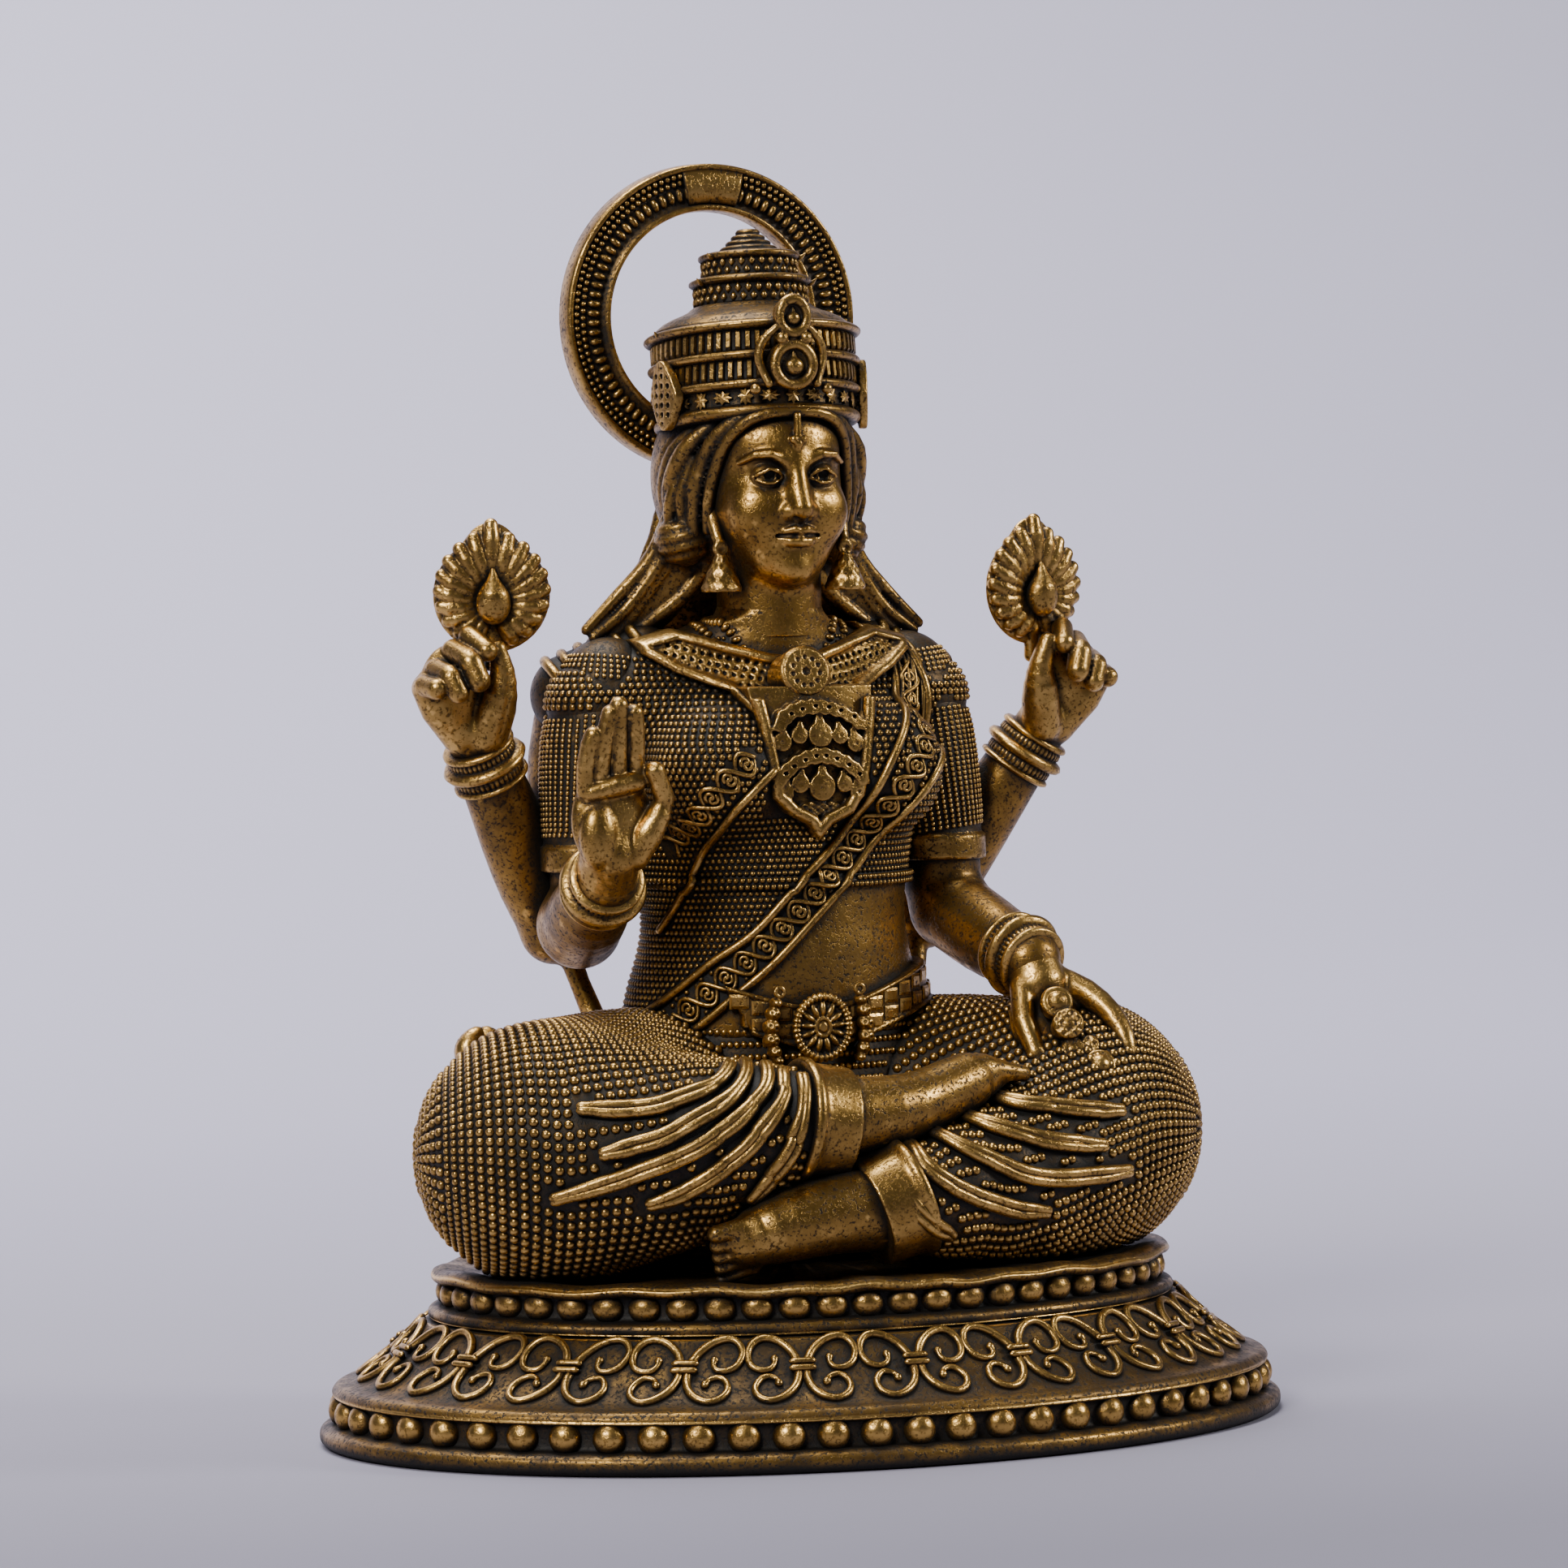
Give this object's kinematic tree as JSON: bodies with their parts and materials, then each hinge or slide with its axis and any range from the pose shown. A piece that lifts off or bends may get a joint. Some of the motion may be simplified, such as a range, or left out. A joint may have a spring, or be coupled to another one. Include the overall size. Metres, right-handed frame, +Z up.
{
  "type": "deity statuette",
  "caption": "Small antiqued brass statuette of a seated four-armed goddess with a halo ring, on an oval stepped pedestal with a flat foot.",
  "frame": {"origin": "centre of the pedestal's flat foot", "axes": "+Z up through the crown, the figure faces -Y, its left side is at +X"},
  "size_m": [0.077, 0.055, 0.098],
  "materials": {
    "brass": "antiqued, dark in the recesses and rubbed bright on the high places",
    "dark_brass": "antiqued, mostly dark",
    "bright_brass": "antiqued, rubbed bright"
  },
  "bodies": {
    "root": {"belt": "bright_brass", "belt_buckle": "bright_brass", "breast_ornament": "bright_brass", "chest_medallion": "bright_brass", "coins": "bright_brass", "crown_band": "bright_brass", "crown_jewel": "bright_brass", "crown_tiers": "brass", "front_left_bangle": "bright_brass", "front_left_forearm": "brass", "front_left_hand": "bright_brass", "front_left_sleeve": "brass", "front_right_bangle": "bright_brass", "front_right_forearm": "brass", "front_right_hand": "bright_brass", "front_right_sleeve": "brass", "hair": "dark_brass", "hair_fall": "dark_brass", "halo_lug": "dark_brass", "halo_ring": "brass", "head": "brass", "hips": "brass", "left_cuff": "bright_brass", "left_earring": "bright_brass", "left_foot": "brass", "left_leg": "brass", "left_lotus": "bright_brass", "left_lotus_bud": "bright_brass", "lower_bead_band": "bright_brass", "pedestal_plinth": "brass", "pedestal_skirt": "brass", "rear_left_bangle": "bright_brass", "rear_left_forearm": "brass", "rear_left_hand": "bright_brass", "rear_left_upper_arm": "brass", "rear_right_bangle": "bright_brass", "rear_right_forearm": "brass", "rear_right_hand": "bright_brass", "rear_right_upper_arm": "brass", "right_cuff": "bright_brass", "right_earring": "bright_brass", "right_foot": "brass", "right_leg": "brass", "right_lotus": "bright_brass", "right_lotus_bud": "bright_brass", "sash": "brass", "torso": "brass", "upper_bead_band": "bright_brass"}
  },
  "joints": []
}
